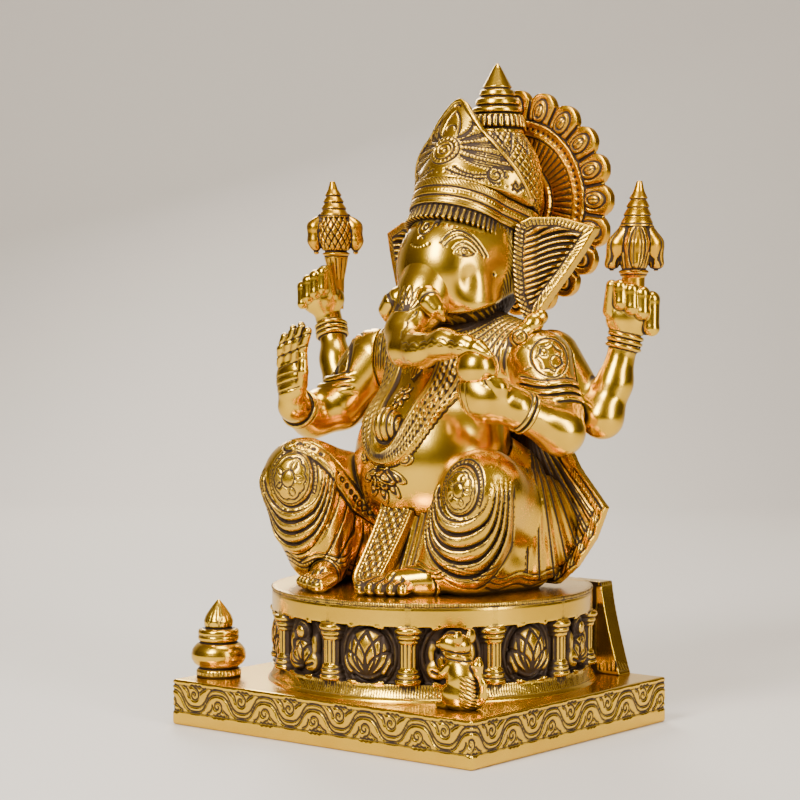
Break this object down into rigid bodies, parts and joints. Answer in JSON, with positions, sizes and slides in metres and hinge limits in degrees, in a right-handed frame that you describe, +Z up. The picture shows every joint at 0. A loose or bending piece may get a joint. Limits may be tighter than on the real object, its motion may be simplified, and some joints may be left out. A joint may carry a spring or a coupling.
{
  "type": "ganesha idol",
  "caption": "Seated four-armed Ganesha idol in polished brass with dark recesses, halo, water pot and mouse, on a round pedestal and rectangular plinth.",
  "frame": {"origin": "middle of the plinth's underside, on the rib that crosses it", "axes": "+Z up, the figure faces -Y, the figure's left is +X"},
  "size_m": [0.1958, 0.1511, 0.295],
  "materials": {
    "brass": "hand polished, warm yellow",
    "antiqued_brass": "polished ridges over dark antique patina",
    "steel": "plain zinc-plated fasteners"
  },
  "bodies": {
    "root": {"plinth_plate": "brass", "pedestal_drum": "brass", "frieze_lotuses": "antiqued_brass", "seat_studs": "steel", "seat_washers": "steel", "seat_nuts": "steel", "hip_drape": "brass", "torso": "brass", "right_leg": "brass", "left_leg": "brass", "right_foot": "brass", "left_foot": "brass", "front_sash": "antiqued_brass", "left_sash_tail": "brass", "right_sash_tail": "brass", "necklaces": "antiqued_brass", "belly_pendant": "antiqued_brass", "head": "brass", "trunk": "brass", "right_tusk": "brass", "left_tusk": "brass", "right_ear": "brass", "left_ear": "brass", "crown_band": "brass", "crown_body": "brass", "crown_finial": "brass", "halo_disc": "antiqued_brass", "halo_stud": "brass", "halo_nut": "steel", "right_front_arm": "brass", "left_front_arm": "brass", "right_rear_arm": "brass", "left_rear_arm": "brass", "right_emblem": "antiqued_brass", "left_emblem": "antiqued_brass", "sweet": "brass", "water_pot": "brass", "pot_stud": "steel", "pot_nut": "steel", "mouse": "brass", "mouse_stud": "steel", "mouse_nut": "steel"}
  },
  "joints": []
}
